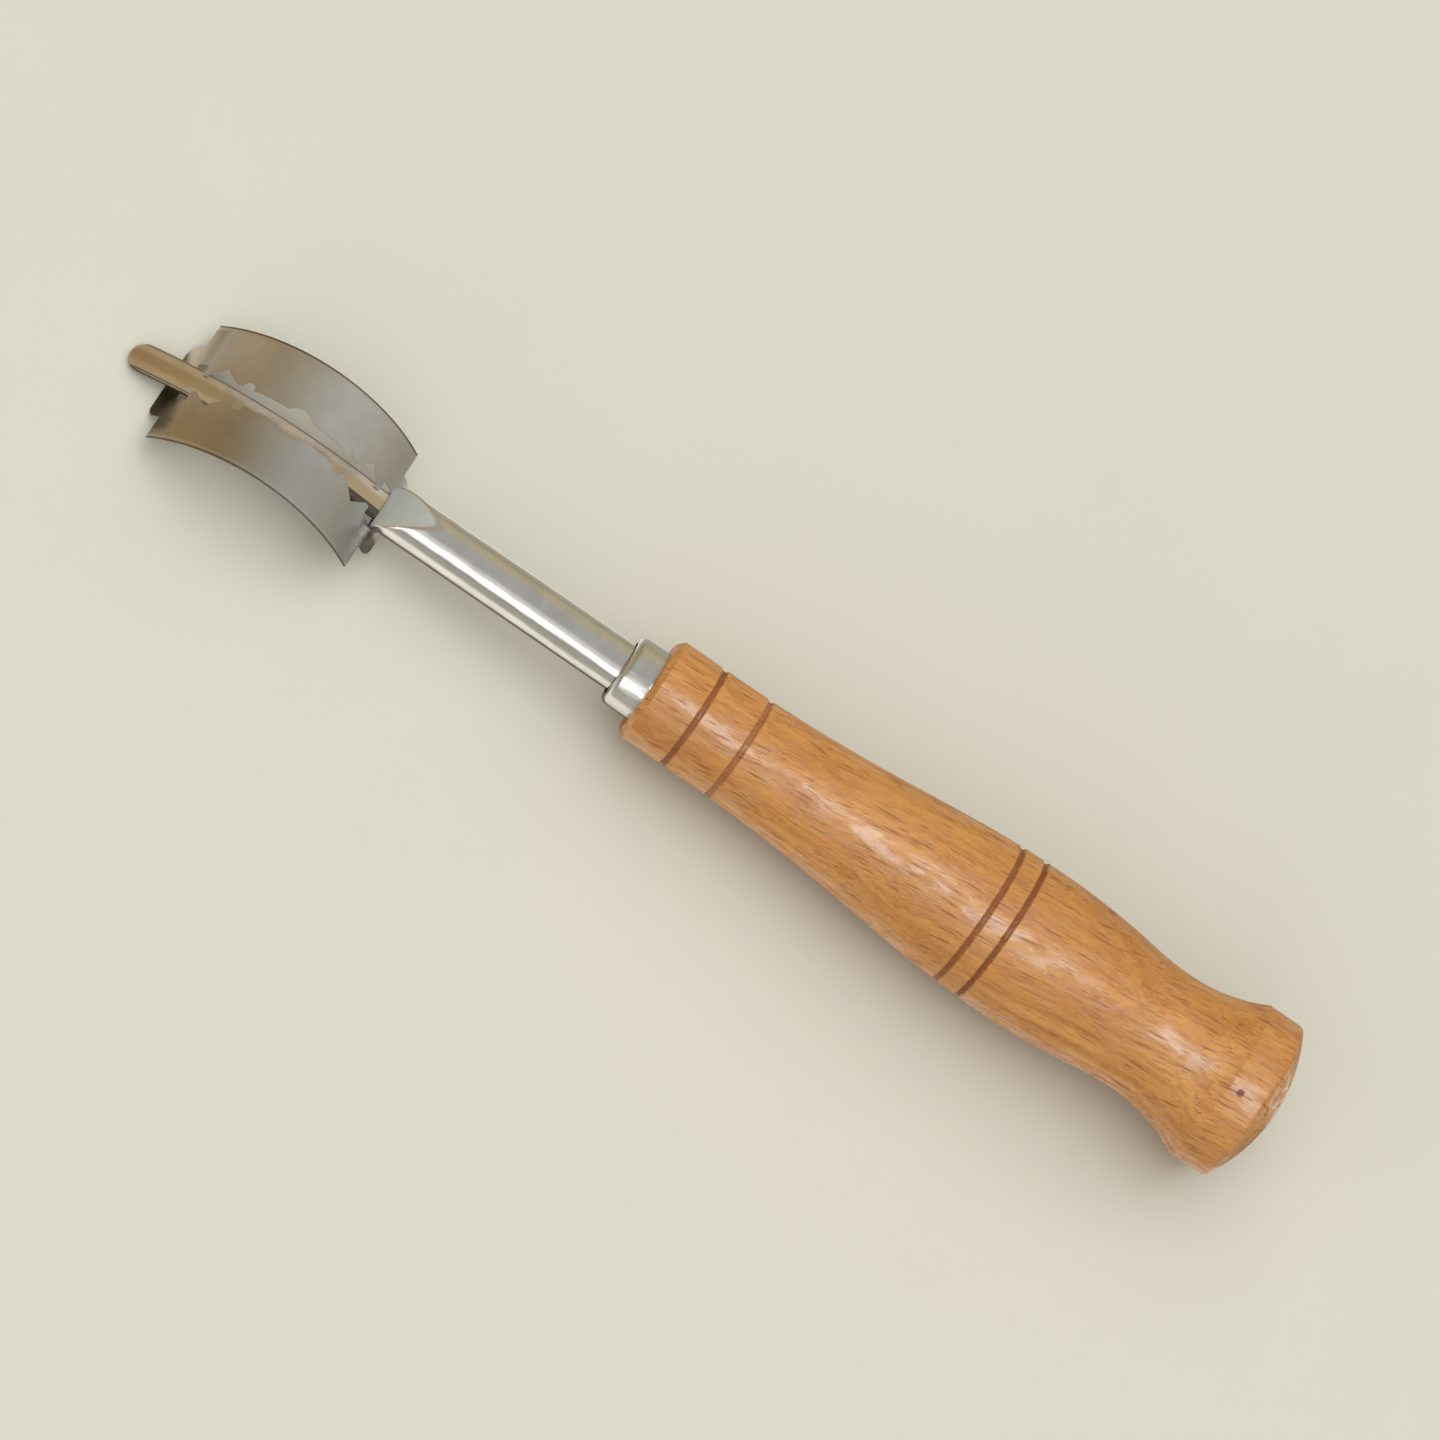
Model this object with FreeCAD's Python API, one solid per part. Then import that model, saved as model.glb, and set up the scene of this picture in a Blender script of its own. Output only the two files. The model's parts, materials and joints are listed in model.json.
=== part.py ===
import FreeCAD, Part
import math
import os

# Bread lame: a turned beech handle, a chromed ferrule, a steel shank with a bowed
# tongue, and a double-edge razor blade threaded on the tongue.  Millimetres.
#
# Everything is drawn in the tool frame and laid down at the end.
# Tool frame: X runs along the shank, from the blade (-X) to the butt (+X), with X = 0
# at the handle's front face.  Z points to the convex side of the blade.

Vector = FreeCAD.Vector
AXIS_X = Vector(1, 0, 0)
AXIS_Y = Vector(0, 1, 0)

# ---- handle ----
HANDLE_LENGTH = 108.0
FRONT_CHAMFER = 0.9
# (x, radius) along the turned outline, from the front chamfer to the neck
GRIP_OUTLINE = [(FRONT_CHAMFER, 8.15), (20, 8.3), (36.5, 9.45), (51.5, 10.95), (63.5, 11.5), (77.5, 10.7)]
NECK_X = 87.0
NECK_R = 9.8
RIM_START_X = 98.9
RIM_END_X = 104.4
RIM_R = 12.7
RIM_FRONT_ROUND = 0.2
RIM_BACK_ROUND = 0.8
GROOVE_X = [7.7, 15.5, 56.9, 60.8]
GROOVE_WIRE_R = 0.6
GROOVE_DEPTH = 0.32

# ---- ferrule on the handle's front spigot ----
SPIGOT_R = 4.95
SPIGOT_LENGTH = 3.8
FERRULE_R = 5.55
FERRULE_LENGTH = 4.7
FERRULE_EDGE_ROUND = 1.1
FERRULE_HOLE_R = 4.25

# ---- shank and its tang in the handle ----
SHANK_R = 3.75
NOSE_X = -45.4
NOSE_TIP_Z = -0.35
NOSE_SLOPE_START_X = -36.0
TANG_R = 3.0
TANG_END_X = 34.0

# ---- tongue: a strip bent to one large arc ----
TONGUE_BEND_R = 85.0
TONGUE_WIDTH = 4.7
TONGUE_THICKNESS = 0.7
TONGUE_TOP_X = -58.2
TONGUE_TOP_Z = 0.05
TONGUE_TIP_X = -86.8
TONGUE_ROOT_X = -40.5
TONGUE_TIP_ROUND = 2.2
TONGUE_EDGE_ROUND = 0.2

# ---- blade: lengths are measured along the bow from its middle, widths across it ----
BLADE_THICKNESS = 0.1
BLADE_HALF_WIDTH = 11.0
BLADE_BOW_R = 22.7
EDGE_HALF_LENGTH = 18.7
TAB_HALF_LENGTH = 21.5
TAB_HALF_WIDTH = 6.85
TAB_ROUND = 1.9
BEVEL_WIDTH = 0.8
EDGE_THICKNESS = 0.01
SLOT_HALF_WIDTH = 1.55
SLOT_HALF_LENGTH = 17.9
BAR_INNER = 16.15
BAR_HALF_WIDTH = 3.35
DIAMOND_AT = 12.95
DIAMOND_HALF_LENGTH = 2.45
DIAMOND_HALF_WIDTH = 3.6
NICK_AT = 8.5
NICK_R = 0.8
NICK_REACH = 1.75
CENTRE_HOLE_R = 2.55
BLADE_TILT = 2.5          # degrees that the blade sits ahead of the tongue's highest point
SADDLE_GAP = 0.25         # between the blade and the hollow under the shank's nose

PUNCH_DEPTH = 4.0         # tall enough to pass through the bowed sheet
NEAR = 0.01               # two lengths closer than this count as equal
STEEPEST_PITCH = 10.0     # degrees
PITCH_HALVINGS = 40
OUTLINE_STEPS = 400


# ---- shapes that several pieces use ----
def turned(profile):
    """Solid made by turning a closed profile in the XZ plane about the tool's axis."""
    return Part.Face(Part.Wire(profile)).revolve(Vector(0, 0, 0), AXIS_X, 360)


def lines(points):
    return [Part.LineSegment(a, b).toShape() for a, b in zip(points, points[1:])]


def xz(x, z):
    return Vector(x, 0, z)


def sector(half_width, r_low, r_high, start, end):
    """Part of a flat ring about the Y axis, between two angles in degrees from +Z to +X."""
    corners = [Vector(0, y, r) for y, r in (
        (-half_width, r_low), (half_width, r_low), (half_width, r_high), (-half_width, r_high))]
    plate = Part.Face(Part.makePolygon(corners + corners[:1]))
    plate.rotate(Vector(0, 0, 0), AXIS_Y, start)
    return plate.revolve(Vector(0, 0, 0), AXIS_Y, end - start)


# ---- handle ----
def grip_curve():
    """Smooth outline of the grip, from the front chamfer to the neck."""
    points = [xz(x, r) for x, r in GRIP_OUTLINE + [(NECK_X, NECK_R)]]
    curve = Part.BSplineCurve()
    curve.interpolate(points, InitialTangent=AXIS_X, FinalTangent=AXIS_X)
    return curve


def neck_cove():
    """Hollow flare from the neck to the rim's crisp edge."""
    run = RIM_START_X - NECK_X
    rise = RIM_R - NECK_R
    radius = (run ** 2 + rise ** 2) / (2 * rise)
    half_turn = math.asin(run / radius) / 2
    middle = xz(NECK_X + radius * math.sin(half_turn), NECK_R + radius * (1 - math.cos(half_turn)))
    return Part.Arc(xz(NECK_X, NECK_R), middle, xz(RIM_START_X, RIM_R)).toShape()


def butt_dome():
    """Spherical end from the rim's rear edge to the axis."""
    rise = HANDLE_LENGTH - RIM_END_X
    radius = (RIM_R ** 2 + rise ** 2) / (2 * rise)
    half_turn = math.asin(RIM_R / radius) / 2
    centre_x = HANDLE_LENGTH - radius
    middle = xz(centre_x + radius * math.cos(half_turn), radius * math.sin(half_turn))
    return Part.Arc(xz(RIM_END_X, RIM_R), middle, xz(HANDLE_LENGTH, 0)).toShape()


def groove(x, radius):
    ring = Part.makeTorus(radius + GROOVE_WIRE_R - GROOVE_DEPTH, GROOVE_WIRE_R)
    ring.rotate(Vector(0, 0, 0), AXIS_Y, 90)
    ring.translate(Vector(x, 0, 0))
    return ring


def rim_edge(shape, x):
    """The circular edge of the rim at one end of it."""
    return [e for e in shape.Edges if abs(e.BoundBox.XMin - x) < NEAR and abs(e.BoundBox.XMax - x) < NEAR
            and e.BoundBox.ZLength > 2 * RIM_R - 10 * NEAR]


def make_handle(grip):
    spigot = [xz(-SPIGOT_LENGTH, 0), xz(-SPIGOT_LENGTH, SPIGOT_R), xz(0, SPIGOT_R)]
    front = xz(0, grip.StartPoint.z - FRONT_CHAMFER)
    profile = lines(spigot + [front, grip.StartPoint])
    profile.append(grip.toShape())
    profile.append(neck_cove())
    profile += lines([xz(RIM_START_X, RIM_R), xz(RIM_END_X, RIM_R)])
    profile.append(butt_dome())
    profile += lines([xz(HANDLE_LENGTH, 0), xz(-SPIGOT_LENGTH, 0)])
    handle = turned(profile)
    handle = handle.makeFillet(RIM_FRONT_ROUND, rim_edge(handle, RIM_START_X))
    handle = handle.makeFillet(RIM_BACK_ROUND, rim_edge(handle, RIM_END_X))
    for x in GROOVE_X:
        handle = handle.cut(groove(x, radius_at(grip, x)))
    bore = Part.makeCylinder(TANG_R, SPIGOT_LENGTH + TANG_END_X, xz(-SPIGOT_LENGTH, 0), AXIS_X)
    return handle.cut(bore)


def radius_at(grip, x):
    """Radius of the grip's outline at a place along it."""
    across = Part.LineSegment(xz(x, 0), xz(x, 2 * RIM_R))
    return grip.intersect(across)[0].Z


# ---- ferrule: a drawn cap with a rounded front edge ----
def make_ferrule():
    front_x = -FERRULE_LENGTH
    side = FERRULE_R
    turn = FERRULE_EDGE_ROUND * (1 - math.sqrt(0.5))
    edge = Part.Arc(
        xz(front_x, side - FERRULE_EDGE_ROUND), xz(front_x + turn, side - turn),
        xz(front_x + FERRULE_EDGE_ROUND, side)).toShape()
    hole = [xz(0, side), xz(0, SPIGOT_R), xz(-SPIGOT_LENGTH, SPIGOT_R), xz(-SPIGOT_LENGTH, FERRULE_HOLE_R)]
    hole += [xz(front_x, FERRULE_HOLE_R), xz(front_x, side - FERRULE_EDGE_ROUND)]
    return turned(lines([xz(front_x + FERRULE_EDGE_ROUND, side)] + hole) + [edge])


# ---- the arc that the tongue is bent to, and the blade's place on it ----
BEND_CENTRE = xz(TONGUE_TOP_X, TONGUE_TOP_Z - TONGUE_BEND_R)


def angle_on_bend(x):
    """Angle in degrees, from +Z to +X, where the tongue's arc passes x."""
    return math.degrees(math.asin((x - TONGUE_TOP_X) / TONGUE_BEND_R))


def bow_centre_height():
    """Height of the blade's bow axis over the bend's centre, with the tongue inside the end bars."""
    turn = (BAR_INNER + SLOT_HALF_LENGTH) / 2 / BLADE_BOW_R
    crossing_x = BLADE_BOW_R * math.sin(turn)
    crossing_z = math.sqrt(TONGUE_BEND_R ** 2 - crossing_x ** 2)
    return crossing_z - BLADE_BOW_R * math.cos(turn)


def to_tool_frame(shape):
    """Moves a shape drawn about the bow axis, blade middle on +Z, to its place on the tongue."""
    shape.translate(xz(0, bow_centre_height()))
    shape.rotate(Vector(0, 0, 0), AXIS_Y, -BLADE_TILT)
    shape.translate(BEND_CENTRE)
    return shape


# ---- tongue ----
def make_tongue():
    half = TONGUE_THICKNESS / 2
    strip = sector(TONGUE_WIDTH / 2, TONGUE_BEND_R - half, TONGUE_BEND_R + half,
                   angle_on_bend(TONGUE_TIP_X), angle_on_bend(TONGUE_ROOT_X))
    strip.translate(BEND_CENTRE)
    tip_edges = [e for e in strip.Edges if e.BoundBox.XMax < TONGUE_TIP_X + 1 and e.BoundBox.YLength < NEAR]
    strip = strip.makeFillet(TONGUE_TIP_ROUND, tip_edges)
    rim_edges = [e for e in strip.Edges if e.BoundBox.XLength > 1 or e.BoundBox.XMax < TONGUE_TIP_X + 1]
    return strip.makeFillet(TONGUE_EDGE_ROUND, rim_edges)


# ---- shank ----
def nose_slope_cutter():
    """Everything over the convex slope that runs down to the shank's nose."""
    run = NOSE_SLOPE_START_X - NOSE_X
    drop = SHANK_R - NOSE_TIP_Z
    radius = (run ** 2 + drop ** 2) / (2 * drop)
    half_turn = math.asin(run / radius) / 2
    start = xz(NOSE_SLOPE_START_X, SHANK_R)
    middle = xz(start.x - radius * math.sin(half_turn), SHANK_R - radius * (1 - math.cos(half_turn)))
    nose = xz(NOSE_X, NOSE_TIP_Z)
    over = lines([nose, xz(NOSE_X - 1, NOSE_TIP_Z), xz(NOSE_X - 1, SHANK_R + 1),
                  xz(start.x, SHANK_R + 1), start])
    face = Part.Face(Part.Wire([Part.Arc(start, middle, nose).toShape()] + over))
    face.translate(Vector(0, -SHANK_R - 1, 0))
    return face.extrude(Vector(0, 2 * SHANK_R + 2, 0))


def make_shank(tongue):
    rod = Part.makeCylinder(SHANK_R, -SPIGOT_LENGTH - NOSE_X, xz(NOSE_X, 0), AXIS_X)
    rod = rod.cut(nose_slope_cutter())
    saddle_r = BLADE_BOW_R + BLADE_THICKNESS / 2 + SADDLE_GAP
    saddle = Part.makeCylinder(saddle_r, 4 * SHANK_R, Vector(0, -2 * SHANK_R, 0), AXIS_Y)
    rod = rod.cut(to_tool_frame(saddle))
    tang = Part.makeCylinder(TANG_R, SPIGOT_LENGTH + TANG_END_X, xz(-SPIGOT_LENGTH, 0), AXIS_X)
    return rod.fuse(tang).cut(tongue)


# ---- blade ----
def bow_angle(along):
    return math.degrees(along / BLADE_BOW_R)


def punch(outline, along):
    """Cutter through the bowed sheet, from a flat outline of (along, across) points."""
    points = [Vector(a, y, BLADE_BOW_R - PUNCH_DEPTH / 2) for a, y in outline]
    cutter = Part.Face(Part.makePolygon(points + points[:1])).extrude(Vector(0, 0, PUNCH_DEPTH))
    cutter.rotate(Vector(0, 0, 0), AXIS_Y, bow_angle(along))
    return cutter


def round_punch(radius, along, across):
    cutter = Part.makeCylinder(radius, PUNCH_DEPTH, Vector(0, across, BLADE_BOW_R - PUNCH_DEPTH / 2))
    cutter.rotate(Vector(0, 0, 0), AXIS_Y, bow_angle(along))
    return cutter


def ring_punch(half_width, start, end):
    """Cutter with straight sides along the bow, between two lengths along it."""
    low = BLADE_BOW_R - PUNCH_DEPTH / 2
    return sector(half_width, low, low + PUNCH_DEPTH, bow_angle(start), bow_angle(end))


def blade_sheet():
    """Bowed sheet with both long edges ground to a thin bevel."""
    half = BLADE_THICKNESS / 2
    thin = EDGE_THICKNESS / 2
    flat = BLADE_HALF_WIDTH - BEVEL_WIDTH
    section = [(-BLADE_HALF_WIDTH, thin), (-flat, half), (flat, half), (BLADE_HALF_WIDTH, thin),
               (BLADE_HALF_WIDTH, -thin), (flat, -half), (-flat, -half), (-BLADE_HALF_WIDTH, -thin)]
    points = [Vector(0, y, BLADE_BOW_R + rise) for y, rise in section]
    plate = Part.Face(Part.makePolygon(points + points[:1]))
    end = bow_angle(TAB_HALF_LENGTH)
    plate.rotate(Vector(0, 0, 0), AXIS_Y, -end)
    return plate.revolve(Vector(0, 0, 0), AXIS_Y, 2 * end)


def corner_cutter(end, side):
    """Material beside an end tab: the square notch and the tab's rounded corner."""
    reach = BLADE_HALF_WIDTH + 1
    ring = ring_punch(reach, EDGE_HALF_LENGTH, TAB_HALF_LENGTH + 1)
    keep = ring_punch(TAB_HALF_WIDTH, EDGE_HALF_LENGTH - 1, TAB_HALF_LENGTH + 2)
    notch = ring.cut(keep)
    corner = TAB_HALF_LENGTH - TAB_ROUND
    across = TAB_HALF_WIDTH - TAB_ROUND
    square = punch([(0, across), (TAB_ROUND + 1, across), (TAB_ROUND + 1, TAB_HALF_WIDTH + 1),
                    (0, TAB_HALF_WIDTH + 1)], corner)
    square = square.cut(round_punch(TAB_ROUND, corner, across))
    cutter = notch.common(half_space(reach)).fuse(square)
    if side < 0:
        cutter = cutter.mirror(Vector(0, 0, 0), AXIS_Y)
    if end < 0:
        cutter = cutter.mirror(Vector(0, 0, 0), AXIS_X)
    return cutter


def half_space(reach):
    return Part.makeBox(4 * reach, 2 * reach, 4 * reach, Vector(-2 * reach, 0, -reach / 2))


def make_blade():
    diamond = [(-DIAMOND_HALF_LENGTH, SLOT_HALF_WIDTH), (0, DIAMOND_HALF_WIDTH),
               (DIAMOND_HALF_LENGTH, SLOT_HALF_WIDTH), (DIAMOND_HALF_LENGTH, -SLOT_HALF_WIDTH),
               (0, -DIAMOND_HALF_WIDTH), (-DIAMOND_HALF_LENGTH, -SLOT_HALF_WIDTH)]
    cutters = [ring_punch(SLOT_HALF_WIDTH, -SLOT_HALF_LENGTH, SLOT_HALF_LENGTH)]
    cutters.append(round_punch(CENTRE_HOLE_R, 0, 0))
    for end in (-1, 1):
        bar_ends = sorted((end * BAR_INNER, end * SLOT_HALF_LENGTH))
        cutters.append(ring_punch(BAR_HALF_WIDTH, bar_ends[0], bar_ends[1]))
        cutters.append(punch(diamond, end * DIAMOND_AT))
        for side in (-1, 1):
            cutters.append(corner_cutter(end, side))
            cutters.append(round_punch(NICK_R, end * NICK_AT, side * NICK_REACH))
    blade = blade_sheet()
    for cutter in cutters:
        blade = blade.cut(cutter)
    return to_tool_frame(blade)


# ---- laying the tool down ----
def resting_pitch(grip):
    """Angle in degrees that brings the grip's swell and the blade's front tab to one level."""
    outline = [grip.value(u) for u in grip_parameters(grip)]
    front = math.radians(bow_angle(TAB_HALF_LENGTH) + BLADE_TILT)
    bow_r = BLADE_BOW_R - BLADE_THICKNESS / 2
    tilt = math.radians(BLADE_TILT)
    bow_x = BEND_CENTRE.x - bow_centre_height() * math.sin(tilt)
    bow_z = BEND_CENTRE.z + bow_centre_height() * math.cos(tilt)
    tab_x = bow_x - bow_r * math.sin(front)
    tab_z = bow_z + bow_r * math.cos(front)
    low, high = 0.0, math.radians(STEEPEST_PITCH)
    for _ in range(PITCH_HALVINGS):
        pitch = (low + high) / 2
        swell = min(p.x * math.sin(pitch) - p.z * math.cos(pitch) for p in outline)
        tab = tab_x * math.sin(pitch) + tab_z * math.cos(pitch)
        if swell < tab:
            low = pitch
        else:
            high = pitch
    return math.degrees(low)


def grip_parameters(grip):
    first, last = grip.FirstParameter, grip.LastParameter
    return [first + (last - first) * i / OUTLINE_STEPS for i in range(OUTLINE_STEPS + 1)]


def lay_down(pieces, pitch):
    """Rests the tool on Z = 0, with the middle of its outline box over the origin."""
    for shape in pieces.values():
        shape.rotate(Vector(0, 0, 0), AXIS_Y, -pitch)
    box = Part.makeCompound(list(pieces.values())).optimalBoundingBox(False, False)
    shift = Vector(-(box.XMin + box.XMax) / 2, -(box.YMin + box.YMax) / 2, -box.ZMin)
    for shape in pieces.values():
        shape.translate(shift)
    return shift


def main():
    grip = grip_curve()
    tongue = make_tongue()
    pieces = {
        "beech_handle": make_handle(grip),
        "front_ferrule": make_ferrule(),
        "steel_shank": make_shank(tongue),
        "blade_tongue": tongue,
        "razor_blade": make_blade(),
    }
    pitch = resting_pitch(grip)
    shift = lay_down(pieces, pitch)
    bend_axis = FreeCAD.Rotation(AXIS_Y, -pitch).multVec(BEND_CENTRE) + shift
    print("pitch %.4f degrees, tongue's bend axis at x %.4f z %.4f" % (pitch, bend_axis.x, bend_axis.z))
    os.makedirs("parts", exist_ok=True)
    for name, shape in pieces.items():
        facts = (name, len(shape.Solids), shape.isValid(), shape.Volume)
        print("%-14s solids %d valid %s volume %.2f" % facts)
        shape.exportStep("parts/%s.step" % name)


main()
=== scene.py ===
import json
import math

import bpy
from mathutils import Matrix, Vector


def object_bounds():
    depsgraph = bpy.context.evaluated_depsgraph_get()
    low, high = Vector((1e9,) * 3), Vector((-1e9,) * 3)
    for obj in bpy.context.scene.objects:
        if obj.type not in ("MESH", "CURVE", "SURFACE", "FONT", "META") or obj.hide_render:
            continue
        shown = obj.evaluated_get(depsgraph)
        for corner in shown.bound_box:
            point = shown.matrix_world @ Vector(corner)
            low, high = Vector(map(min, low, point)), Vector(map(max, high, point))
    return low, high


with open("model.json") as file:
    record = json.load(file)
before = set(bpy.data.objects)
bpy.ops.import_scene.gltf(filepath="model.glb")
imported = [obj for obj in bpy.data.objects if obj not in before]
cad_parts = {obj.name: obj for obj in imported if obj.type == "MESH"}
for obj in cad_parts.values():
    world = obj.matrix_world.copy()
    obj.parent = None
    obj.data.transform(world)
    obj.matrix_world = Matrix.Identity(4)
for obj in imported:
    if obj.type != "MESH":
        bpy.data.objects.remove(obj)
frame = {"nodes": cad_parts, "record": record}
cad_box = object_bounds()
nodes = frame["nodes"]

# ---- the tool's own axes: x along the handle from its front face, in millimetres ----
MM_PER_M = 1000.0
GRIP_X = 62.0                        # where the record's hand_grip mount lies along the handle
grip = next(m for m in frame["record"]["mounts"] if m["name"] == "hand_grip")
TOOL_X = Vector(grip["axis"]).normalized()
TOOL_ORIGIN = Vector(grip["pos_m"]) - TOOL_X * GRIP_X / MM_PER_M
PITCH = math.atan2(TOOL_X.z, TOOL_X.x)

# ---- the photograph's view ----
VIEW_TOWARDS_BLADE = math.radians(6.6)
VIEW_TOWARDS_FRONT = math.radians(30.5)
AXIS_SLOPE = math.radians(34.5)      # how steeply the handle runs down the picture
CAMERA_DISTANCE = 1.4
FRAME_WIDTH = 0.2033                 # what the picture's width covers at the tool, in metres
SENSOR_WIDTH = 36.0


# ---- node helpers ----
class Mat:
    """A material's node tree, built with short calls that each return an output socket."""

    def __init__(self, name):
        self.material = bpy.data.materials.new(name)
        self.material.use_nodes = True
        self.tree = self.material.node_tree
        self.shader = self.tree.nodes["Principled BSDF"]

    def new(self, kind, **settings):
        node = self.tree.nodes.new(kind)
        for key, value in settings.items():
            setattr(node, key, value)
        return node

    def plug(self, value, socket):
        """Link a socket, or set a number, a vector or a colour without its alpha."""
        if isinstance(value, bpy.types.NodeSocket):
            self.tree.links.new(value, socket)
        elif socket.type == "RGBA":
            socket.default_value = tuple(value) + (1,)
        else:
            socket.default_value = value

    def set(self, **values):
        """Shader inputs by name, with _ for a space."""
        for key, value in values.items():
            self.plug(value, self.shader.inputs[key.replace("_", " ")])

    # numbers
    def math(self, operation, a, b=0.0, clamp=False):
        node = self.new("ShaderNodeMath", operation=operation, use_clamp=clamp)
        self.plug(a, node.inputs[0])
        self.plug(b, node.inputs[1])
        return node.outputs[0]

    def plus(self, a, b):
        return self.math("ADD", a, b)

    def minus(self, a, b, clamp=False):
        return self.math("SUBTRACT", a, b, clamp)

    def times(self, a, b):
        return self.math("MULTIPLY", a, b)

    def size(self, value):
        return self.math("ABSOLUTE", value)

    def length(self, a, b):
        return self.math("SQRT", self.plus(self.times(a, a), self.times(b, b)))

    def ramp(self, value, low, high, to_low=0.0, to_high=1.0):
        """Smooth step of value from low to high."""
        node = self.new("ShaderNodeMapRange", interpolation_type="SMOOTHSTEP")
        for socket, item in zip(node.inputs, (value, low, high, to_low, to_high)):
            self.plug(item, socket)
        return node.outputs[0]

    # colours
    def mix(self, share, a, b):
        node = self.new("ShaderNodeMix", data_type="RGBA")
        self.plug(share, node.inputs[0])
        self.plug(a, node.inputs[6])
        self.plug(b, node.inputs[7])
        return node.outputs[2]

    def tint(self, colour, shade, mask, share):
        """The colour with a share of another shade where the mask is 1."""
        return self.mix(self.times(mask, share), colour, shade)

    # places
    def object_place(self):
        return self.new("ShaderNodeTexCoord").outputs["Object"]

    def tool_mm(self):
        """Place in the tool's own axes, in millimetres. It goes with the piece in every pose."""
        shift = Matrix.Rotation(PITCH, 3, "Y") @ TOOL_ORIGIN * -MM_PER_M
        return self.moved(self.object_place(), shift, (0, PITCH, 0), (MM_PER_M,) * 3)

    def moved(self, place, shift=(0, 0, 0), turn=(0, 0, 0), scale=(1, 1, 1)):
        node = self.new("ShaderNodeMapping")
        self.plug(place, node.inputs["Vector"])
        node.inputs["Location"].default_value = shift
        node.inputs["Rotation"].default_value = turn
        node.inputs["Scale"].default_value = scale
        return node.outputs[0]

    def xyz(self, place):
        node = self.new("ShaderNodeSeparateXYZ")
        self.plug(place, node.inputs[0])
        return node.outputs

    # patterns
    def noise(self, place, scale=1.0, detail=3.0, rough=0.55):
        """Noise of one scale in all directions, or of a scale for each axis."""
        if isinstance(scale, tuple):
            place = self.moved(place, scale=scale)
            scale = 1.0
        node = self.new("ShaderNodeTexNoise")
        self.plug(place, node.inputs["Vector"])
        node.inputs["Scale"].default_value = scale
        node.inputs["Detail"].default_value = detail
        node.inputs["Roughness"].default_value = rough
        return node.outputs["Fac"]

    def flecks(self, place, radius, core, few, many):
        """Scattered flecks, 1 at the core and 0 at the radius. A random number decides how dark each is."""
        node = self.new("ShaderNodeTexVoronoi")
        self.plug(place, node.inputs["Vector"])
        node.inputs["Scale"].default_value = 1.0
        pick = self.xyz(node.outputs["Color"])[0]
        return self.times(self.ramp(node.outputs["Distance"], radius, core), self.ramp(pick, few, many))

    # surface relief
    def bump(self, height, distance, strength, normal=None):
        node = self.new("ShaderNodeBump")
        node.inputs["Strength"].default_value = strength
        node.inputs["Distance"].default_value = distance
        self.plug(height, node.inputs["Height"])
        if normal is not None:
            self.plug(normal, node.inputs["Normal"])
        return node.outputs[0]

    def soft_edges(self, radius):
        """Normal that rounds every crease over a radius in metres."""
        node = self.new("ShaderNodeBevel", samples=8)
        node.inputs["Radius"].default_value = radius
        return node.outputs[0]


def paint(obj, mat):
    obj.data.materials.clear()
    obj.data.materials.append(mat.material)


# ---- beech ----
GRAIN_TURN = math.radians(-6)        # the grain runs a little across the handle
PITH_Y = -30.0                       # the pith lies well outside the handle
PITH_Z = -70.0
RINGS_PER_MM = 0.42
GROOVE_X = [7.7, 15.5, 56.9, 60.8]
GROOVE_DARKNESS = [0.85, 0.6, 0.85, 0.95]
TURNING_PITCH = 0.45                 # between the fine marks of the turning tool
PIN_KNOT = (100.6, -6.4, 11.0)       # on the butt's rim

# patterns per mm along the grain, across it and into the wood
WOBBLE = (0.03, 0.08, 0.08)
BROAD = (0.018, 0.16, 0.16)
STREAK = (0.06, 1.1, 1.1)
FIBRE = (0.35, 7.0, 7.0)
RAY = (0.15, 2.0, 0.30)
SPECK = (0.36, 3.6, 0.8)
LACQUER_PATCH = (0.20, 0.65, 0.65)
LACQUER_WAVE = (0.09, 0.40, 0.40)

BEECH_DEEP = (0.46, 0.190, 0.037)
BEECH_PALE = (0.60, 0.282, 0.070)
STREAK_BROWN = (0.37, 0.122, 0.020)
LATE_WOOD_BROWN = (0.34, 0.108, 0.018)
FIBRE_GOLD = (0.77, 0.41, 0.125)
RAY_BROWN = (0.215, 0.058, 0.010)
SPECK_BROWN = (0.235, 0.066, 0.012)
BURNT_BROWN = (0.20, 0.052, 0.012)
KNOT_RED = (0.15, 0.018, 0.012)


def wood_axes(m, tool):
    """Wavy axes: x along the grain, y across it in the face that the photograph shows, z into it."""
    wood = m.moved(tool, turn=(-VIEW_TOWARDS_FRONT, 0, 0))
    wood = m.moved(wood, turn=(0, 0, GRAIN_TURN))
    wobble = m.noise(wood, WOBBLE, 2.0)
    shift = m.new("ShaderNodeCombineXYZ")
    m.plug(m.times(wobble, 5.0), shift.inputs[1])
    m.plug(m.times(wobble, 3.0), shift.inputs[2])
    bent = m.new("ShaderNodeVectorMath", operation="ADD")
    m.plug(wood, bent.inputs[0])
    m.plug(shift.outputs[0], bent.inputs[1])
    return bent.outputs[0]


def burnt_grooves(m, tool):
    """1 in the grooves that the turning tool burnt, with uneven edges."""
    x = m.xyz(tool)[0]
    edge = m.times(m.minus(m.noise(tool, 0.9), 0.5), 0.45)
    burn = 0.0
    for place, dark in zip(GROOVE_X, GROOVE_DARKNESS):
        away = m.plus(m.size(m.minus(x, place)), edge)
        burn = m.math("MAXIMUM", burn, m.times(m.ramp(away, 0.56, 0.24), dark))
    return burn


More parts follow.
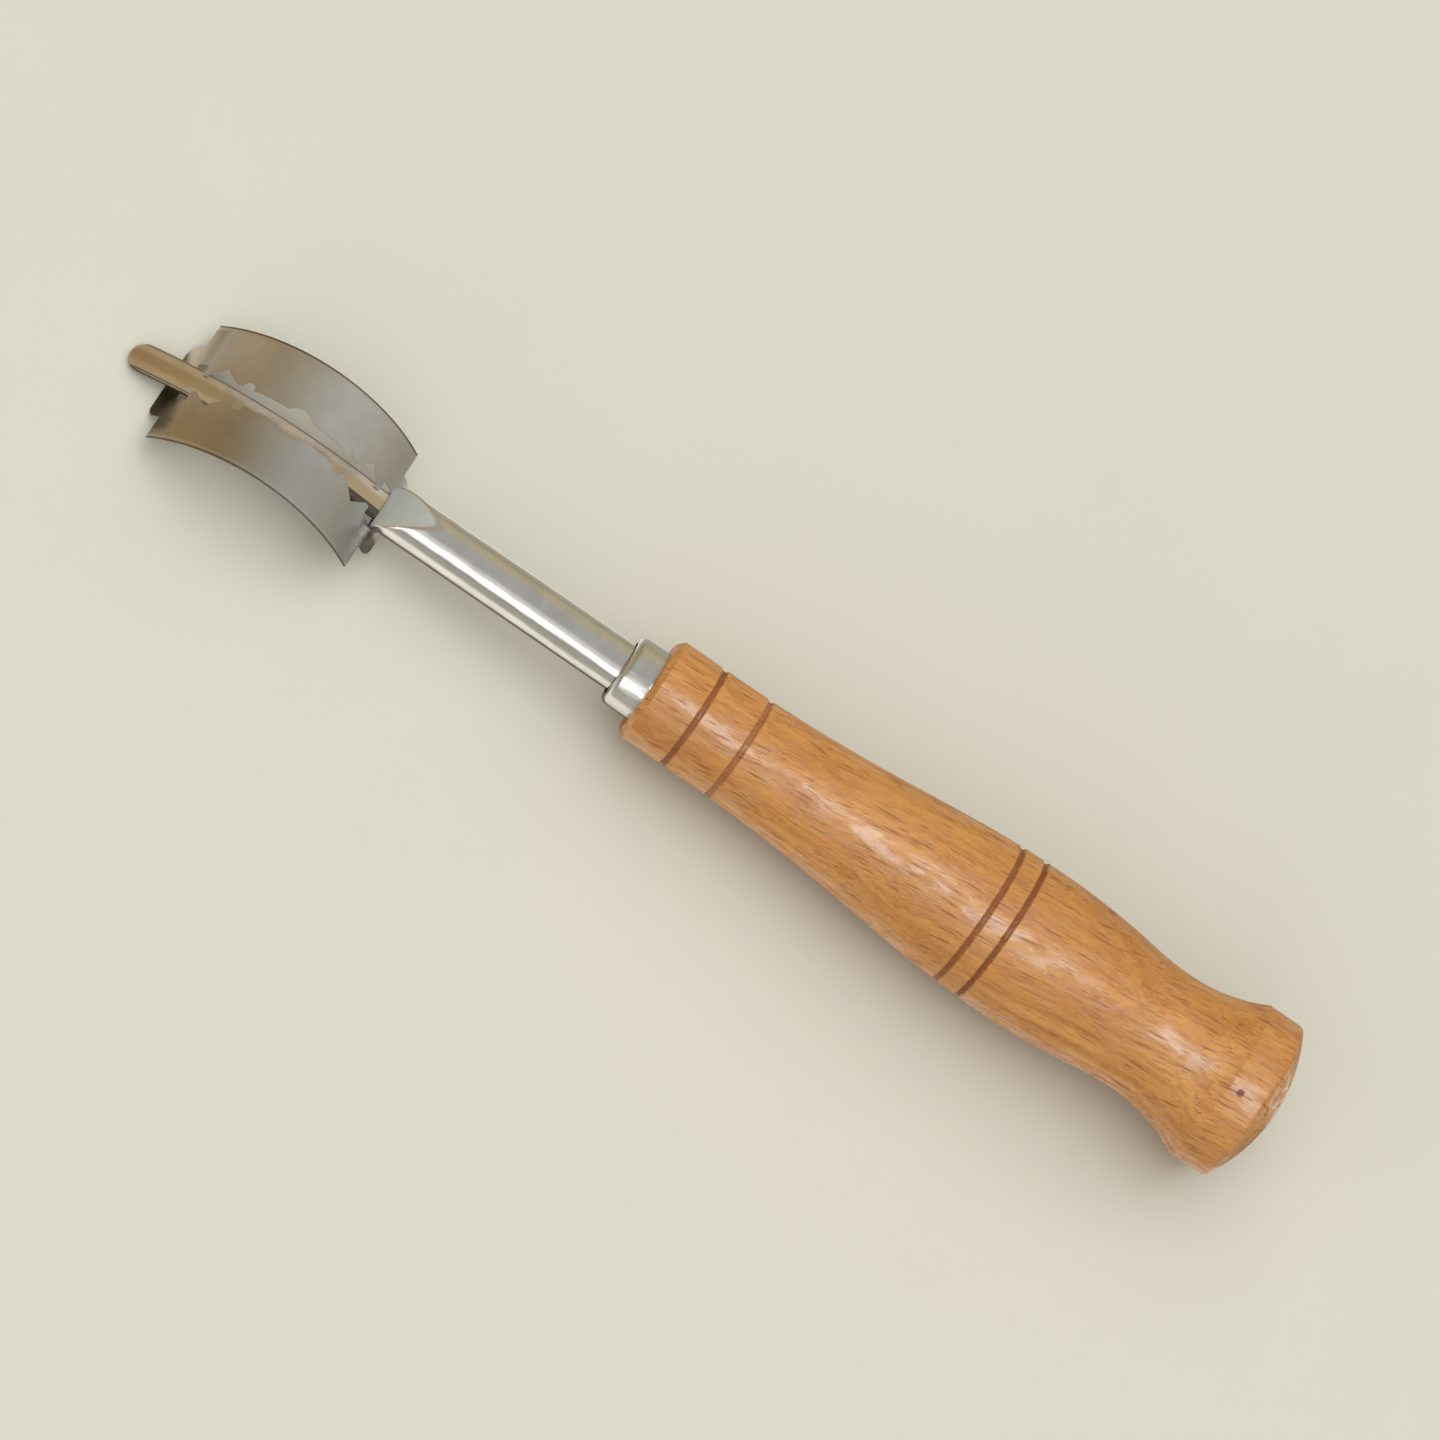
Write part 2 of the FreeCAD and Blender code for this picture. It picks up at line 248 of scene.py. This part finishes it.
def pin_knot(m, tool):
    away = m.new("ShaderNodeVectorMath", operation="DISTANCE")
    m.plug(tool, away.inputs[0])
    m.plug(PIN_KNOT, away.inputs[1])
    return m.times(m.ramp(away.outputs["Value"], 0.75, 0.35), 0.9)


def beech():
    m = Mat("beech")
    tool = m.tool_mm()
    wood = wood_axes(m, tool)
    _, across, deep = m.xyz(wood)
    ring = m.math("FRACT", m.times(m.length(m.minus(across, PITH_Y), m.minus(deep, PITH_Z)), RINGS_PER_MM))
    late_wood = m.times(m.ramp(ring, 0.35, 0.92), m.ramp(ring, 1.0, 0.93))
    broad = m.noise(wood, BROAD, 3.0, 0.6)
    streak = m.noise(wood, STREAK, 4.0, 0.65)
    fibre = m.noise(wood, FIBRE, 3.0, 0.6)
    rays = m.flecks(m.moved(wood, scale=RAY), 0.40, 0.10, 0.10, 0.8)
    specks = m.flecks(m.moved(wood, shift=(3.3, 5.1, 7.7), scale=SPECK), 0.42, 0.12, 0.20, 0.9)
    burn = burnt_grooves(m, tool)
    knot = pin_knot(m, tool)

    colour = m.mix(m.ramp(broad, 0.3, 0.7), BEECH_DEEP, BEECH_PALE)
    colour = m.tint(colour, STREAK_BROWN, m.ramp(streak, 0.44, 0.66), 0.66)
    colour = m.tint(colour, LATE_WOOD_BROWN, late_wood, 0.34)
    colour = m.tint(colour, FIBRE_GOLD, m.ramp(fibre, 0.40, 0.68), 0.32)
    colour = m.tint(colour, RAY_BROWN, rays, 0.68)
    colour = m.tint(colour, SPECK_BROWN, specks, 0.60)
    colour = m.mix(burn, colour, BURNT_BROWN)
    colour = m.mix(knot, colour, KNOT_RED)

    turning = m.math("SINE", m.times(m.xyz(tool)[0], 2 * math.pi / TURNING_PITCH))
    height = m.minus(m.times(fibre, 0.5), m.times(rays, 0.6))
    height = m.minus(height, m.times(specks, 0.5))
    height = m.plus(height, m.times(turning, 0.05))
    height = m.plus(height, m.times(m.noise(tool, 0.55, 2.0), 0.6))

    # the lacquer has sunk unevenly between the fibres, so it shines in patches
    patches = m.noise(wood, LACQUER_PATCH)
    wave = m.noise(wood, LACQUER_WAVE, 1.0)
    normal = m.bump(height, 0.00009, 0.8, m.bump(patches, 0.00006, 0.8))
    coat_normal = m.bump(height, 0.00004, 0.8, m.bump(wave, 0.00040, 0.8))
    rough = m.plus(m.times(fibre, 0.16), m.times(burn, 0.2))
    shine = m.minus(m.ramp(patches, 0.42, 0.60, 0.02, 0.95), knot, clamp=True)
    shine = m.minus(shine, m.times(burn, 0.6), clamp=True)
    m.set(Base_Color=colour, Roughness=m.plus(rough, 0.40), Normal=normal, IOR=1.5,
          Coat_Weight=shine, Coat_Roughness=0.26, Coat_Normal=coat_normal)
    return m


# ---- metals ----
FERRULE_HOLE_R = 4.3
ROD_R = 3.75
SLOPE_STARTS_X = -36.0               # the nose's slope begins here and runs towards the blade
WARM_REFLECTION_X = -61.0                       # the blade's painted warm reflection begins here and is full at the x below
WARM_REFLECTION_FULL_X = -76.0
BEVEL_Y = 10.12                      # the blade's ground bevels begin here on both sides
EDGE_Y = 10.62                       # the honed edges begin here
BEARING_X = -66.5                    # painted shade on the tongue, where the blade bears on it, runs from here to the rod

CHROME = (0.80, 0.80, 0.78)
FERRULE_CHROME = (0.80, 0.805, 0.79)
SLOPE_GREY = (0.63, 0.70, 0.735)
# painted shade in the ferrule's bore, round the rod
GAP_PAINTED_SHADE = (0.03, 0.028, 0.025)
# painted reflection: the tongue's warm sides and brown middle
TONGUE_WARM_REFLECTION = (1.0, 0.90, 0.76)
TONGUE_MIDDLE_BROWN_REFLECTION = (0.76, 0.62, 0.43)
# painted reflection: dark on the tongue's rolled edges
TONGUE_EDGE_DARK_REFLECTION = (0.20, 0.155, 0.11)
# painted shade on the tongue where the blade bears on it
TONGUE_PAINTED_SHADE = (0.05, 0.04, 0.03)
BLADE_BRIGHT = (0.78, 0.785, 0.83)
BLADE_SMEARED = (0.70, 0.705, 0.74)
# painted reflection: the near leaf is greyer
NEAR_LEAF_GREY_REFLECTION = (0.60, 0.60, 0.62)
# painted warm reflection on the blade's front
WARM_REFLECTION_BROWN = (0.54, 0.44, 0.32)
# painted reflection on the blade's front tab
FRONT_TAB_BROWN_REFLECTION = (0.45, 0.40, 0.31)
# painted dark reflections on the near halves of the end tabs
FRONT_CORNER_DARK_REFLECTION = (0.13, 0.11, 0.09)
REAR_CORNER_DARK_REFLECTION = (0.15, 0.125, 0.10)
BEVEL_GREY = (0.74, 0.73, 0.70)
EDGE_BROWN = (0.16, 0.14, 0.12)


class Polished(Mat):
    """Bright metal with fine lines from polishing, faint smears and slow waves in the surface."""

    def __init__(self, name, tint, rough, line_scale, line_depth, waves, shade=0.10, crease_radius=0.0):
        super().__init__(name)
        tool = self.tool_mm()
        lines = self.noise(tool, line_scale, 3.0, 0.7)
        smear = self.noise(tool, 0.35, 4.0, 0.6)
        wave = self.noise(tool, (0.22, 0.5, 0.5), 1.0)
        dull = tuple(part * (1 - shade) for part in tint)
        self.colour = self.mix(self.ramp(smear, 0.35, 0.7), tint, dull)
        self.rough = self.plus(self.plus(self.times(smear, 0.10), self.times(lines, 0.08)), rough)
        normal = self.bump(wave, 0.0006, waves, self.soft_edges(crease_radius) if crease_radius else None)
        self.set(Base_Color=self.colour, Metallic=1.0, Roughness=self.rough,
                 Normal=self.bump(lines, 0.00002, line_depth, normal))


def ferrule_chrome():
    m = Polished("ferrule_chrome", FERRULE_CHROME, 0.18, (0.4, 5, 5), 0.3, 0.30)
    _, y, z = m.xyz(m.tool_mm())
    # painted shade: the bore round the rod is darkened, where the gap falls in shade
    painted_shade = m.ramp(m.length(y, z), FERRULE_HOLE_R + 0.5, FERRULE_HOLE_R)
    m.set(Base_Color=m.mix(painted_shade, m.colour, GAP_PAINTED_SHADE))
    return m


def shank_chrome():
    """The slope on the rod's nose lies inside the rod's round surface, and is duller."""
    m = Polished("shank_chrome", CHROME, 0.10, (0.25, 7, 7), 0.4, 0.10, crease_radius=0.0007)
    tool = m.tool_mm()
    x, y, z = m.xyz(tool)
    inside = m.ramp(m.length(y, z), ROD_R, ROD_R - 0.3)
    slope = m.times(inside, m.ramp(x, SLOPE_STARTS_X, SLOPE_STARTS_X - 2.5))
    grinding = m.noise(tool, (0.8, 9.0, 0.8), 2.0, 0.6)
    dullness = m.plus(0.26, m.times(grinding, 0.2))
    m.set(Base_Color=m.tint(m.colour, SLOPE_GREY, slope, 0.85), Metallic=m.ramp(slope, 0, 1, 1.0, 0.7),
          Roughness=m.plus(m.rough, m.times(slope, dullness)))
    return m


def tongue_steel():
    """Satin plated strip. Its warm tone and brown middle are painted reflection, its rolled edges are
    darkened as painted reflection, and painted shade lies where the blade bears on it.
    """
    m = Polished("tongue_steel", TONGUE_WARM_REFLECTION, 0.20, (0.3, 8, 8), 0.6, 0.25, 0.14)
    x, y, _ = m.xyz(m.tool_mm())
    side = m.size(y)
    # painted reflection: a brown stripe down the middle, between lighter warm sides
    colour = m.mix(m.ramp(side, 1.4, 0.5), m.colour, TONGUE_MIDDLE_BROWN_REFLECTION)
    # painted reflection: both rolled edges are darkened, as they mirror the dark underside of the blade
    colour = m.tint(colour, TONGUE_EDGE_DARK_REFLECTION, m.ramp(side, 1.85, 2.2), 0.8)
    # painted shade: the tongue's near edge is darkened where it passes under the blade
    painted_shade = m.times(m.ramp(y, -0.75, -1.0), m.ramp(x, BEARING_X, BEARING_X + 1.5))
    m.set(Base_Color=m.tint(colour, TONGUE_PAINTED_SHADE, painted_shade, 0.85))
    return m


def blade_steel():
    """Satin razor strip: lines along the rolling direction and ground bevels, with painted reflections:
    warm brown at its front, dark on the tabs' near halves and greyer on the near leaf.
    """
    m = Mat("blade_steel")
    tool = m.tool_mm()
    x, y, _ = m.xyz(tool)
    side = m.size(y)
    bevel = m.ramp(side, BEVEL_Y, BEVEL_Y + 0.14)
    honed = m.ramp(side, EDGE_Y, EDGE_Y + 0.12)
    rolled = m.noise(tool, (0.5, 9.0, 0.5), 3.0, 0.65)
    ground = m.noise(tool, (14.0, 0.6, 14.0), 2.0, 0.6)
    smear = m.noise(tool, 0.28, 4.0, 0.65)
    cloud = m.times(m.minus(m.noise(tool, 0.16, 3.0, 0.6), 0.5), 9.0)
    cloudy_x = m.plus(x, cloud)
    cloudy_y = m.plus(y, cloud)
    # painted reflection: warm brown over the front of the near leaf
    warm_reflection = m.times(m.ramp(cloudy_x, WARM_REFLECTION_X, WARM_REFLECTION_FULL_X), m.ramp(cloudy_y, 7, -7))
    front_tab = m.ramp(x, -76.4, -77.6)
    # painted reflection: the near halves of both end tabs are darkened, as they mirror the shaded underside
    # of the tongue
    front_corner = m.times(m.ramp(m.plus(x, m.times(cloud, 0.3)), -76.6, -78.0), m.ramp(side, 10.0, 8.4))
    front_corner = m.times(front_corner, m.ramp(y, 0.5, -1.5))
    rear_corner = m.times(m.ramp(x, -45.6, -44.7), m.ramp(y, -3.0, -4.2))

    colour = m.mix(m.ramp(smear, 0.3, 0.75), BLADE_BRIGHT, BLADE_SMEARED)
    # painted reflection: the near leaf is greyer than the far one
    colour = m.mix(m.ramp(cloudy_y, 7, -8), colour, NEAR_LEAF_GREY_REFLECTION)
    colour = m.tint(colour, WARM_REFLECTION_BROWN, warm_reflection, 0.85)
    # painted reflection: the front tab is tinted brown
    colour = m.tint(colour, FRONT_TAB_BROWN_REFLECTION, front_tab, 0.85)
    # painted reflection: dark near halves of the end tabs
    colour = m.tint(colour, FRONT_CORNER_DARK_REFLECTION, front_corner, 0.8)
    colour = m.tint(colour, REAR_CORNER_DARK_REFLECTION, rear_corner, 0.8)
    colour = m.tint(colour, BEVEL_GREY, bevel, 0.5)
    colour = m.tint(colour, EDGE_BROWN, honed, 0.8)
    m.set(Base_Color=colour, Metallic=1.0, Roughness=m.plus(0.20, m.times(smear, 0.16)),
          Normal=m.bump(m.mix(bevel, rolled, ground), 0.00002, 0.5))
    return m


paint(nodes["beech_handle"], beech())
paint(nodes["front_ferrule"], ferrule_chrome())
paint(nodes["steel_shank"], shank_chrome())
paint(nodes["blade_tongue"], tongue_steel())
paint(nodes["razor_blade"], blade_steel())

# ---- floor ----
FLOOR_HALF = 3.0
TABLE_PALE = (0.638, 0.636, 0.575)
TABLE_DEEP = (0.625, 0.622, 0.560)
# painted for the metal's reflections only: a painted shadow right under the tool, a painted bright strip
# beside it and a dimmer table further out
MIRRORED_PAINTED_SHADOW = (0.20, 0.17, 0.12)
MIRRORED_WHITE = (0.97, 0.95, 0.91)
MIRRORED_DIM = (0.36, 0.35, 0.31)
WHITE_FROM = (0.0050, 0.0072)        # metres from the tool's axis: end of the painted shadow, start of the painted bright strip
DIM_FROM = (0.014, 0.024)            # metres from the tool's axis: end of the painted bright strip, start of the dim


def pale_table():
    m = Mat("pale_table")
    place = m.object_place()
    table_tone = m.mix(m.noise(m.moved(place, scale=(40,) * 3)), TABLE_PALE, TABLE_DEEP)
    from_tool = m.size(m.xyz(place)[1])
    # painted shadow under the tool and a painted bright strip beside it, seen only by reflected rays
    mirrored = m.mix(m.ramp(from_tool, *WHITE_FROM), MIRRORED_PAINTED_SHADOW, MIRRORED_WHITE)
    mirrored = m.mix(m.ramp(from_tool, *DIM_FROM), mirrored, MIRRORED_DIM)
    is_glossy = m.new("ShaderNodeLightPath").outputs["Is Glossy Ray"]
    m.set(Base_Color=m.mix(is_glossy, table_tone, mirrored), Roughness=0.65)
    return m


floor_mesh = bpy.data.meshes.new("floor")
corners = [(-FLOOR_HALF, -FLOOR_HALF, 0), (FLOOR_HALF, -FLOOR_HALF, 0),
           (FLOOR_HALF, FLOOR_HALF, 0), (-FLOOR_HALF, FLOOR_HALF, 0)]
floor_mesh.from_pydata(corners, [], [(0, 1, 2, 3)])
floor = bpy.data.objects.new("floor", floor_mesh)
bpy.context.scene.collection.objects.link(floor)
paint(floor, pale_table())


# ---- camera ----
def view_axes():
    """Picture's right, picture's up and the direction back to the camera, in the row frame."""
    back = Vector((-math.sin(VIEW_TOWARDS_BLADE),
                   -math.cos(VIEW_TOWARDS_BLADE) * math.sin(VIEW_TOWARDS_FRONT),
                   math.cos(VIEW_TOWARDS_BLADE) * math.cos(VIEW_TOWARDS_FRONT)))
    along = (TOOL_X - TOOL_X.dot(back) * back).normalized()
    across = back.cross(along)
    right = math.cos(AXIS_SLOPE) * along + math.sin(AXIS_SLOPE) * across
    return right, back.cross(right), back


def placed(place, axes):
    return Matrix.Translation(place) @ Matrix(axes).transposed().to_4x4()


right, up, back = view_axes()
low, high = (Vector(corner) for corner in cad_box)
middle = (low + high) / 2
camera_data = bpy.data.cameras.new("camera")
camera_data.sensor_width = SENSOR_WIDTH
camera_data.lens = SENSOR_WIDTH * CAMERA_DISTANCE / FRAME_WIDTH
camera = bpy.data.objects.new("camera", camera_data)
camera.matrix_world = placed(middle + back * CAMERA_DISTANCE, (right, up, back))
bpy.context.scene.collection.objects.link(camera)
bpy.context.scene.camera = camera

# ---- light: sizes and distances in metres, powers in watts ----
LAMP_DISTANCE = 2.2
GLINT_DISTANCE = 1.6
LAMP_WHITE = (1.0, 0.99, 0.97)
WINDOW_WHITE = (1.0, 0.985, 0.965)
DAYLIGHT = (0.72, 0.94, 1.12)
METAL_PIECES = ["front_ferrule", "steel_shank", "blade_tongue", "razor_blade"]
WOOD_PIECES = ["beech_handle"]


def soft_light(name, direction, distance, size, power, colour):
    """A rectangular light that faces the object, with its first side along the tool."""
    data = bpy.data.lights.new(name, "AREA")
    data.shape = "RECTANGLE"
    data.size, data.size_y = size
    data.energy = power
    data.color = colour
    light = bpy.data.objects.new(name, data)
    facing = direction.normalized()
    side = (TOOL_X - TOOL_X.dot(facing) * facing).normalized()
    light.matrix_world = placed(middle + facing * distance, (side, facing.cross(side), facing))
    bpy.context.scene.collection.objects.link(light)
    return light


def lamp(name, direction, size, power):
    """A light that metal doesn't mirror."""
    light = soft_light(name, Vector(direction), LAMP_DISTANCE, size, power, LAMP_WHITE)
    light.visible_glossy = False


def glint(name, turn, size, power, pieces, colour):
    """A light that only makes highlights, on some of the pieces, turned across the tool from the camera."""
    turn = math.radians(turn)
    direction = math.cos(turn) * back + math.sin(turn) * back.cross(TOOL_X).normalized()
    light = soft_light(name, direction, GLINT_DISTANCE, size, power, colour)
    light.visible_diffuse = False
    lit = bpy.data.collections.new(name + "_lit")
    for piece in pieces:
        lit.objects.link(nodes[piece])
    light.light_linking.receiver_collection = lit


lamp("ceiling", (0.1, 0.2, 1.0), (4.0, 4.0), 56)
lamp("fill", (-0.3, -1.0, 0.6), (3.0, 2.0), 25)
glint("window", -33, (1.5, 0.55), 5.5, METAL_PIECES, WINDOW_WHITE)
glint("window_glow", -21, (1.5, 1.2), 1.7, METAL_PIECES, WINDOW_WHITE)
glint("sheen", 4, (1.2, 0.62), 15, WOOD_PIECES, DAYLIGHT)

# ---- room: the product of three tones, each a list of direction from -1 to 1 and colour ----
HEIGHT_TONES = [(-1.0, (0.55, 0.53, 0.46)), (0.0, (0.30, 0.285, 0.25)),
                (0.35, (0.44, 0.42, 0.36)), (1.0, (0.46, 0.455, 0.44))]
# warm brown low beyond the blade, cooler beyond the butt
LENGTH_TONES = [(-0.9, (1.10, 0.94, 0.72)), (-0.6, (0.66, 0.54, 0.38)), (-0.15, (0.86, 0.82, 0.73)),
                (0.25, (1.08, 1.12, 1.20)), (0.65, (0.98, 0.99, 1.00)), (0.95, (0.72, 0.70, 0.66))]
FAR_TONES = [(0.3, (1.0, 1.0, 1.0)), (0.7, (1.17, 1.06, 0.82))]

world = bpy.data.worlds.new("room")
bpy.context.scene.world = world
world.use_nodes = True
tree = world.node_tree
towards = tree.nodes.new("ShaderNodeSeparateXYZ")
tree.links.new(tree.nodes.new("ShaderNodeTexCoord").outputs["Generated"], towards.inputs[0])


def room_ramp(axis, stops):
    ramp = tree.nodes.new("ShaderNodeValToRGB")
    span = tree.nodes.new("ShaderNodeMapRange")
    span.inputs["From Min"].default_value = -1
    tree.links.new(towards.outputs[axis], span.inputs["Value"])
    tree.links.new(span.outputs[0], ramp.inputs[0])
    elements = ramp.color_ramp.elements
    while len(elements) < len(stops):
        elements.new(0.5)
    for element, (place, colour) in zip(elements, stops):
        element.position = (place + 1) / 2
        element.color = colour + (1,)
    return ramp.outputs[0]


def product(tone, other):
    both = tree.nodes.new("ShaderNodeMix")
    both.data_type = "RGBA"
    both.blend_type = "MULTIPLY"
    both.inputs[0].default_value = 1.0
    tree.links.new(tone, both.inputs[6])
    tree.links.new(other, both.inputs[7])
    return both.outputs[2]


room_tone = product(room_ramp("Z", HEIGHT_TONES), room_ramp("X", LENGTH_TONES))
room_tone = product(room_tone, room_ramp("Y", FAR_TONES))
tree.links.new(room_tone, tree.nodes["Background"].inputs["Color"])

bpy.context.scene.view_settings.view_transform = "Standard"
